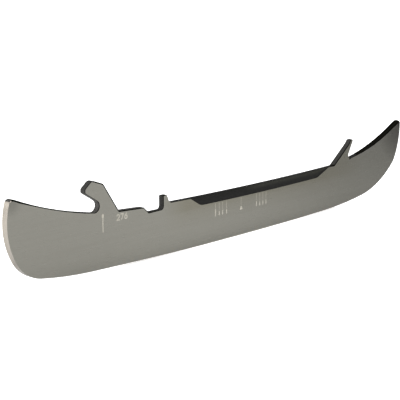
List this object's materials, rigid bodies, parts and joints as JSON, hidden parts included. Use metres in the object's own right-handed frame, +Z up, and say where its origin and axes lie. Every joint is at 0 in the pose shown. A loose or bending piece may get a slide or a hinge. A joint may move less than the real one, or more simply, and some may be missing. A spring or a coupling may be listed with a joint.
{
  "type": "ice hockey skate blade",
  "caption": "Slim steel skate runner with a rockered edge, a rear hook, a notch and tooth, a front spur and black filler strips in side pockets, made to snap into a skate holder.",
  "frame": {"origin": "lowest point of the running edge, halfway along the blade and at the middle of its thickness", "axes": "+X from the heel to the toe, +Y to the left side, +Z up from the ice"},
  "size_m": [0.276, 0.003, 0.0415],
  "materials": {
    "steel": "satin sides, dark cut edges, bright ground running surface",
    "filler": "black, satin"
  },
  "bodies": {
    "root": {"runner": "steel", "filler_strip_right": "filler", "filler_strip_left": "filler"}
  },
  "joints": []
}
